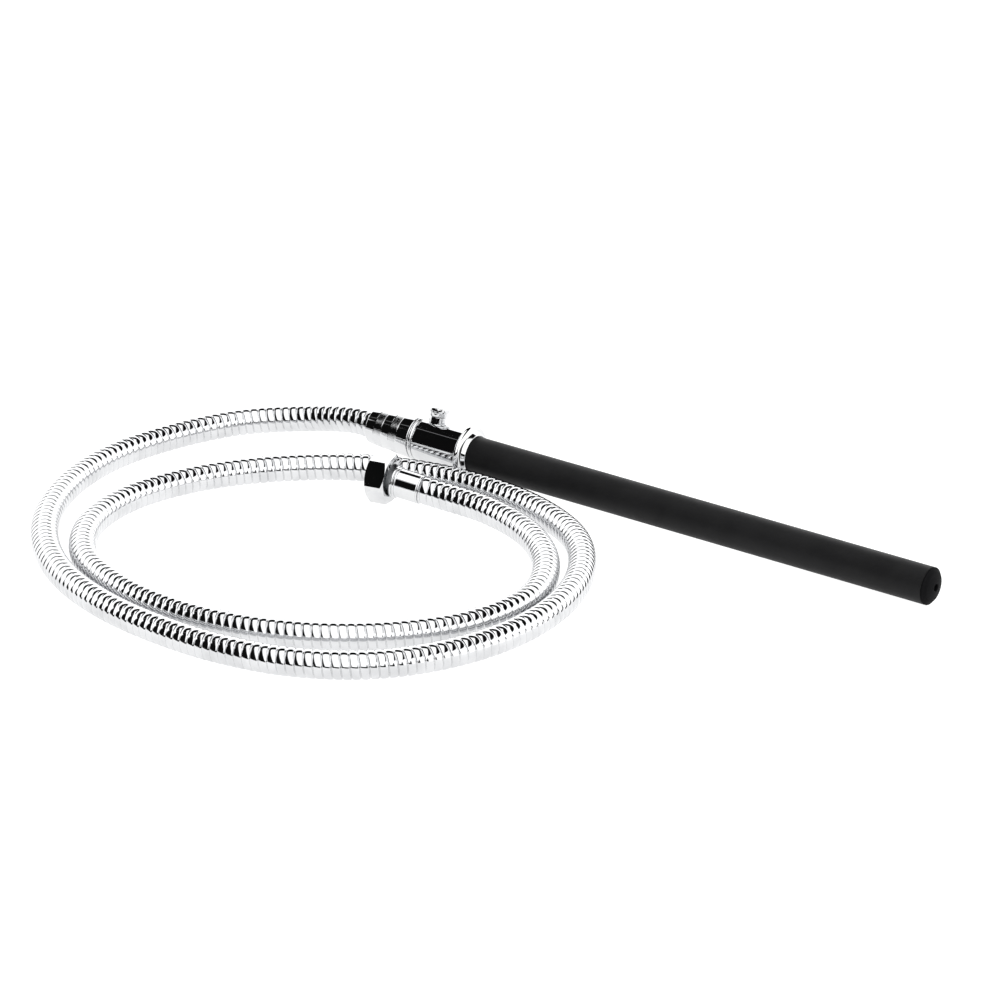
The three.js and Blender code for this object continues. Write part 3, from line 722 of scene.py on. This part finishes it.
def make_hex_nut():
    half = HEX_LENGTH / 2
    corner = HEX_FLATS / 2 / math.cos(math.pi / 6)
    rings = []
    for station in (-half, half):
        for side in range(6):
            angle = math.pi / 3 * side + math.pi / 6
            rings.append((station, corner * math.sin(angle), corner * math.cos(angle)))
    faces = [tuple(range(6)), tuple(range(11, 5, -1))]
    faces += [(side, (side + 1) % 6, (side + 1) % 6 + 6, side + 6) for side in range(6)]
    nut = object_from(mesh_from("union_hex_nut", rings, faces, NUT), "union_hex_nut")
    slope = HEX_CHAMFER * math.sqrt(3)
    apothem = HEX_FLATS / 2
    lathe = plain("nut_lathe", [
        (-half, 0),
        (-half, apothem),
        (-half + HEX_CHAMFER, apothem + slope),
        (half - HEX_CHAMFER, apothem + slope),
        (half, apothem),
        (half, 0),
    ], NUT)
    carve(nut, "INTERSECT", [lathe], HEX_EDGE, 20)
    nut.modifiers.clear()
    shoulder = half - HEX_BACK_WALL
    socket = plain("nut_socket", rod_outline(-half - CUT_PAST, shoulder, THREAD_R), NUT)
    hole = plain("nut_hole", rod_outline(shoulder - CUT_PAST, half + CUT_PAST, HEX_HOLE_R), NUT)
    carve(nut, "DIFFERENCE", [socket, hole], FINE_EDGE, 60)
    return settle(nut, "chrome", "hex_nut", "hex_nut")


def make_far_sleeve():
    outline = [(SLEEVE_START, SLEEVE_BORE_R)]
    for start, width, radius in SLEEVE_BEADS:
        outline += [
            (start, SLEEVE_GROOVE_R, 0),
            (start + width * BEAD_SIDE, radius, 0.4 * MM),
            (start + width * (1 - BEAD_SIDE), radius, 0.4 * MM),
            (start + width, SLEEVE_GROOVE_R, 0),
        ]
    groove = SLEEVE_END - SLEEVE_LIP
    outline += [
        (outline[-1][0], SLEEVE_R, 0.1 * MM),
        (groove - SLEEVE_LIP_GROOVE, SLEEVE_R, 0.05 * MM),
        (groove, SLEEVE_R - SLEEVE_LIP_GROOVE, 0.05 * MM),
        (groove + SLEEVE_LIP_GROOVE, SLEEVE_R, 0.15 * MM),
        (SLEEVE_END, SLEEVE_R, 0.35 * MM),
        (SLEEVE_END, SLEEVE_BORE_R),
    ]
    sleeve = turned("crimp_sleeve", outline, SLEEVE, 0.1 * MM, FINE_SIDES)
    return settle(sleeve, "chrome", "sprayer", "far_end_sleeve")


HOSE, HOSE_PATH = make_hose()
HEX_NUT = make_hex_nut()
FAR_SLEEVE = make_far_sleeve()


# ---------------------------------------------------------------- conical nut

def cone_radius(station):
    share = (station - CONE_REAR) / (CONE_FRONT - CONE_REAR)
    return CONE_NARROW_R + (CONE_WIDE_R - CONE_NARROW_R) * share


def saw(value):
    """A triangle wave from 0 to 1 and back, once for each whole step of the value."""
    return abs(2 * (value - math.floor(value)) - 1)


def knurl_height(station, start, angle):
    """Diamonds between two families of slanted grooves, which run out at the band's edges."""
    pitch = 2 * math.pi * cone_radius(start) / KNURL_TEETH
    around = angle / (2 * math.pi) * KNURL_TEETH
    along = (station - start) / pitch
    across = min(saw(around + along), saw(around - along))
    edge = min(station - start, start + KNURL_WIDTH - station) / KNURL_EDGE
    return KNURL_DEPTH * (min(1, KNURL_SLOPE * across) - 1) * max(0, min(1, edge))


def cone_rings():
    """Stations of the outside with the band they lie in, if any, from rear to front."""
    rings = [(CONE_REAR + CONE_ROUND, None)]
    for start in KNURL_STARTS:
        rear = CONE_REAR + start
        rings.append((rear - KNURL_MARGIN, None))
        for step in range(KNURL_STEPS + 1):
            rings.append((rear + KNURL_WIDTH * step / KNURL_STEPS, rear))
        rings.append((rear + KNURL_WIDTH + KNURL_MARGIN, None))
    rings.append((CONE_FRONT - CONE_ROUND, None))
    return rings


def make_cone_nut():
    inside = [
        (CONE_FRONT, THREAD_R),
        (CONE_SHOULDER, THREAD_R),
        (CONE_SHOULDER, CONE_HOLE_R),
        (CONE_REAR, CONE_HOLE_R),
    ]
    rings = [(CONE_REAR + inset, CONE_NARROW_R - drop, None) for inset, drop in CONE_REAR_ROUND]
    rings += [(station, cone_radius(station), band) for station, band in cone_rings()]
    rings += [(CONE_FRONT - inset, CONE_WIDE_R - drop, None) for inset, drop in CONE_FRONT_ROUND]
    rings += [(station, radius, None) for station, radius in inside]
    points = []
    for station, radius, band in rings:
        for side in range(KNURL_SIDES):
            angle = 2 * math.pi * side / KNURL_SIDES
            rise = knurl_height(station, band, angle) if band is not None else 0
            distance = radius + rise
            points.append((station, distance * math.cos(angle), distance * math.sin(angle)))
    faces = []
    count = len(rings)
    for ring in range(count):
        lower = ring * KNURL_SIDES
        upper = ((ring + 1) % count) * KNURL_SIDES
        for side in range(KNURL_SIDES):
            after = (side + 1) % KNURL_SIDES
            faces.append((lower + side, lower + after, upper + after, upper + side))
    nut = object_from(mesh_from("conical_nut", points, faces, WAND), "conical_nut")
    even_normals(nut)
    return settle(nut, "chrome", "cone_nut", "cone_nut")


# ---------------------------------------------------------------- valve

def make_thrust_ring():
    middle = (RING_REAR + RING_FRONT) / 2
    half = (RING_FRONT - RING_REAR) / 2
    bore = SPIGOT_R + FIT_GAP
    crown = []
    for step in range(RING_STEPS + 1):
        angle = math.pi * step / RING_STEPS
        crown.append((middle - half * math.cos(angle), RING_R - RING_CROWN * (1 - math.sin(angle)), 0))
    outline = [(RING_REAR, bore, 0)] + crown + [(RING_FRONT, bore, 0)]
    ring = turned("thrust_bead", outline, WAND)
    return settle(ring, "chrome", "sprayer", "thrust_ring")


def dish_tool():
    """Cuts the dished recess round the plunger."""
    floor = BODY_R - DISH_DEPTH
    past = BODY_R + 2 * CUT_PAST
    slope = (DISH_R - DISH_FLOOR_R) / DISH_DEPTH
    return plain("dish", [
        (floor, 0),
        (floor, DISH_FLOOR_R),
        (past, DISH_FLOOR_R + slope * (past - floor)),
        (past, 0),
    ], PLUNGER, SMALL_SIDES)


def make_valve_body():
    """The housing; its barrel is made in short rows, so the rounding at its ends stays there."""
    first_row = BODY_REAR + BODY_END_ROW
    last_row = BODY_FRONT - BODY_END_ROW
    barrel = []
    for row in range(BODY_ROWS + 1):
        barrel.append((first_row + (last_row - first_row) * row / BODY_ROWS, BODY_R))
    body = plain("valve_housing", [
        (SPIGOT_REAR, 0),
        (SPIGOT_REAR, SPIGOT_R),
        (BODY_REAR, SPIGOT_R),
        (BODY_REAR, BODY_R),
    ] + barrel + [
        (BODY_FRONT, BODY_R),
        (BODY_FRONT, 0),
    ], WAND)
    inlet_end = PLUNGER_STATION - PLUNGER_BORE_R - PORT_MARGIN
    dish_floor = BODY_R - DISH_DEPTH
    inlet = rod_outline(SPIGOT_REAR - CUT_PAST, inlet_end, WATER_BORE_R)
    socket = rod_outline(BODY_FRONT - SOCKET_DEPTH, BODY_FRONT + CUT_PAST, SOCKET_R)
    bore = rod_outline(STOP_SHOULDER - BORE_OVERLAP, dish_floor + BORE_OVERLAP, PLUNGER_BORE_R)
    stop_bore = rod_outline(-BODY_R - CUT_PAST, STOP_SHOULDER, STOP_BORE_R)
    tools = [
        plain("inlet", inlet, WAND, SMALL_SIDES),
        plain("socket", socket, WAND),
        dish_tool(),
        plain("bore", bore, PLUNGER, SMALL_SIDES),
        plain("stop_bore", stop_bore, PLUNGER, SMALL_SIDES),
    ]
    carve(body, "DIFFERENCE", tools, BODY_EDGE)
    return settle(body, "chrome", "sprayer", "valve_body")


def make_bore_plug():
    disc = rod_outline(-BODY_R, BORE_PLUG_TOP, STOP_BORE_R - FIT_GAP)
    plug = plain("bore_cap", disc, PLUNGER, SMALL_SIDES)
    start = PLUNGER_STATION - BODY_R
    round_body = plain("round_body", rod_outline(start, start + 2 * BODY_R, BODY_R), WAND)
    carve(plug, "INTERSECT", [round_body], FINE_EDGE)
    return settle(plug, "chrome", "sprayer", "bore_plug")


def make_knob():
    outline = [
        (STUD_TOP, 0, 0),
        (STUD_TOP, STUD_R + FIT_GAP),
        (KNOB_BOTTOM, STUD_R + FIT_GAP),
        (KNOB_BOTTOM, KNOB_NECK_R, 0.2 * MM),
        (KNOB_NECK_TOP, KNOB_NECK_R + KNOB_NECK_TAPER, 0.4 * MM),
        (KNOB_RIM_BOTTOM, KNOB_RIM_R, 0.12 * MM),
        (KNOB_RIM_TOP, KNOB_RIM_R, 0.35 * MM),
    ]
    outline += dome(KNOB_RIM_TOP, KNOB_RIM_R, KNOB_DOME)[1:]
    knob = turned("push_knob", outline, PLUNGER, 0.1 * MM, FINE_SIDES)
    return settle(knob, "chrome", "valve_plunger", "knob")


def make_plunger():
    outline = [
        (PLUNGER_BOTTOM, 0, 0),
        (PLUNGER_BOTTOM, STOP_FLANGE_R),
        (STOP_FLANGE_TOP, STOP_FLANGE_R),
        (STOP_FLANGE_TOP, PLUNGER_R, 0),
        (-WAIST_HALF, PLUNGER_R),
        (-WAIST_HALF, WAIST_R, 0),
        (WAIST_HALF, WAIST_R, 0),
        (WAIST_HALF, PLUNGER_R),
    ]
    for middle in RING_GROOVES:
        outline += [
            (middle - RING_GROOVE_HALF, PLUNGER_R),
            (middle - RING_GROOVE_HALF, RING_GROOVE_R, 0),
            (middle + RING_GROOVE_HALF, RING_GROOVE_R, 0),
            (middle + RING_GROOVE_HALF, PLUNGER_R),
        ]
    outline += [
        (PLUNGER_SHOULDER, PLUNGER_R, 0.25 * MM),
        (PLUNGER_SHOULDER, STUD_R, 0),
        (PLUNGER_SHOULDER + STUD_LENGTH, STUD_R, 0.3 * MM),
        (PLUNGER_SHOULDER + STUD_LENGTH, 0, 0),
    ]
    plunger = turned("valve_plunger_stem", outline, PLUNGER, 0.1 * MM, FINE_SIDES)
    return settle(plunger, "chrome", "valve_plunger", "plunger")


# ---------------------------------------------------------------- collar, tube and tip

def make_collar():
    """A rounded rim, a bell that falls away from it, and a slightly tapered lip round the tube."""
    bell = []
    mouth = TUBE_R + FIT_GAP
    for step in range(1, COLLAR_BELL_STEPS + 1):
        angle = (step / COLLAR_BELL_STEPS) * COLLAR_BELL_TURN
        share = math.sin(angle) / math.sin(COLLAR_BELL_TURN)
        drop = (1 - math.cos(angle)) / (1 - math.cos(COLLAR_BELL_TURN))
        station = COLLAR_RIM + (COLLAR_LIP_START - COLLAR_RIM) * share
        radius = COLLAR_R - (COLLAR_R - COLLAR_LIP_R) * drop
        bell.append((station, radius, 0))
    outline = [
        (0, SOCKET_R),
        (0, COLLAR_R - COLLAR_EDGE, 0.35 * MM),
        (COLLAR_EDGE, COLLAR_R, 0.35 * MM),
    ] + bell + [
        (COLLAR_LENGTH, COLLAR_MOUTH_R, 0.25 * MM),
        (COLLAR_LENGTH, mouth, 0.1 * MM),
        (COLLAR_STEP, mouth),
        (COLLAR_STEP, SOCKET_R),
    ]
    collar = turned("bell_collar", outline, WAND)
    return settle(collar, "chrome", "sprayer", "collar")


def make_wand_tube():
    outline = [
        (TUBE_REAR, TUBE_BORE_R),
        (TUBE_REAR, TUBE_R, 0.5 * MM),
        (TUBE_FRONT, TUBE_R, 0.25 * MM),
        (TUBE_FRONT, TUBE_BORE_R),
    ]
    tube = turned("grip_tube", outline, WAND)
    return settle(tube, "black_sleeve", "sprayer", "wand_tube")


def make_tip():
    bevel_front = TIP_REAR + TIP_EDGE + TIP_BEVEL
    face = dome(bevel_front, TIP_FACE_R, TIP_DOME, OUTLET_R)
    outline = [
        (TIP_REAR - TIP_SHANK, OUTLET_R),
        (TIP_REAR - TIP_SHANK, TIP_SHANK_R, 0.4 * MM),
        (TIP_REAR, TIP_SHANK_R),
        (TIP_REAR, TUBE_R, 0.1 * MM),
        (TIP_REAR + TIP_EDGE, TUBE_R, 0.5 * MM),
        (bevel_front, TIP_FACE_R, 0.5 * MM),
    ] + face[1:-2] + [
        (face[-1][0], OUTLET_R + OUTLET_LIP, OUTLET_LIP),
        (face[-1][0] - OUTLET_LIP, OUTLET_R, 0.1 * MM),
    ]
    tip = turned("spray_tip", outline, WAND)
    return settle(tip, "black_tip", "sprayer", "tip_plug")


make_cone_nut()
make_thrust_ring()
make_valve_body()
make_bore_plug()
make_plunger()
make_knob()
make_collar()
make_wand_tube()
make_tip()


# ---------------------------------------------------------------- inner pieces kept from the CAD

def dress_inner_nodes():
    """The pieces inside keep their CAD shape, and take the material of their slot."""
    slots = {entry["node"]: entry["material_slot"] for entry in frame["record"]["subparts"]}
    for name, node in frame["nodes"].items():
        node.data.materials.clear()
        node.data.materials.append(MATERIALS[slots[name]])


dress_inner_nodes()


# ---------------------------------------------------------------- floor and studio light

def make_floor():
    signs = [(-1, -1), (1, -1), (1, 1), (-1, 1)]
    corners = [(FLOOR_HALF * x, FLOOR_HALF * y, FLOOR_TOP) for x, y in signs]
    floor = object_from(mesh_from("floor", corners, [(0, 1, 2, 3)]), "floor")
    material, tree, shader = new_material("pale_floor")
    tone = ramp(tree, noise(tree, 3, 2), 0.3, 0.7)
    tree.links.new(mix_colour(tree, tone, *FLOOR_TONES), shader.inputs["Base Color"])
    shader.inputs["Roughness"].default_value = 0.9
    shader.inputs["Emission Color"].default_value = (1, 1, 1, 1)
    shader.inputs["Emission Strength"].default_value = FLOOR_GLOW
    floor.data.materials.append(material)


def panel(tree, direction, azimuth, elevation, half_width, half_height, soft):
    """A softbox on the sky: 1 inside a flat rectangle that faces the object from a direction."""
    outward = Vector((
        math.sin(azimuth) * math.cos(elevation),
        -math.cos(azimuth) * math.cos(elevation),
        math.sin(elevation),
    ))
    right = Vector((math.cos(azimuth), math.sin(azimuth), 0))
    up = outward.cross(-right).normalized()
    if up.z < 0:
        up = -up

    def dot(axis):
        inputs = {0: direction, 1: tuple(axis)}
        made = add_node(tree, "ShaderNodeVectorMath", inputs, operation="DOT_PRODUCT")
        return made.outputs["Value"]

    depth = maths(tree, "MAXIMUM", dot(outward), SMALLEST)
    across = maths(tree, "ABSOLUTE", maths(tree, "DIVIDE", dot(right), depth))
    along = maths(tree, "ABSOLUTE", maths(tree, "DIVIDE", dot(up), depth))
    width, height = math.tan(half_width), math.tan(half_height)
    inside = maths(
        tree, "MULTIPLY",
        ramp(tree, across, width + soft, width - soft),
        ramp(tree, along, height + soft, height - soft),
    )
    ahead = maths(tree, "GREATER_THAN", dot(outward), 0.0)
    return maths(tree, "MULTIPLY", inside, ahead)


def make_studio():
    """A dark room: a white wall behind and beside, a softbox over the camera, a strip overhead."""
    world = bpy.data.worlds.new("studio")
    world.use_nodes = True
    bpy.context.scene.world = world
    tree = world.node_tree
    tree.nodes.clear()
    direction = add_node(tree, "ShaderNodeTexCoord").outputs["Generated"]
    split = add_node(tree, "ShaderNodeSeparateXYZ", {0: direction})
    wall_top = math.sin(WALL_TOP)
    wall = maths(
        tree, "MULTIPLY",
        ramp(tree, split.outputs["Z"], wall_top + WALL_TOP_SOFT, wall_top - WALL_TOP_SOFT),
        ramp(tree, split.outputs["Y"], *WALL_NEAR_EDGE),
    )
    key = panel(tree, direction, KEY_AZIMUTH, KEY_ELEVATION, KEY_HALF_WIDTH, KEY_HALF_HEIGHT, KEY_SOFT)
    above = maths(tree, "MAXIMUM", split.outputs["Z"], SMALLEST)
    lean = maths(tree, "ADD", maths(tree, "DIVIDE", split.outputs["Y"], above), STRIP_LEAN)
    strip = ramp(tree, maths(tree, "ABSOLUTE", lean), *STRIP_EDGE)
    total = maths(tree, "MULTIPLY", wall, WALL_STRENGTH)
    total = maths(tree, "ADD", total, maths(tree, "MULTIPLY", key, KEY_STRENGTH))
    total = maths(tree, "ADD", total, maths(tree, "MULTIPLY", strip, STRIP_STRENGTH))
    total = maths(tree, "ADD", total, ROOM_GLOW)
    background = add_node(tree, "ShaderNodeBackground", {"Color": (1, 1, 1, 1), "Strength": total})
    output = add_node(tree, "ShaderNodeOutputWorld")
    tree.links.new(background.outputs[0], output.inputs["Surface"])


make_floor()
make_studio()
bpy.context.scene.view_settings.view_transform = "Standard"
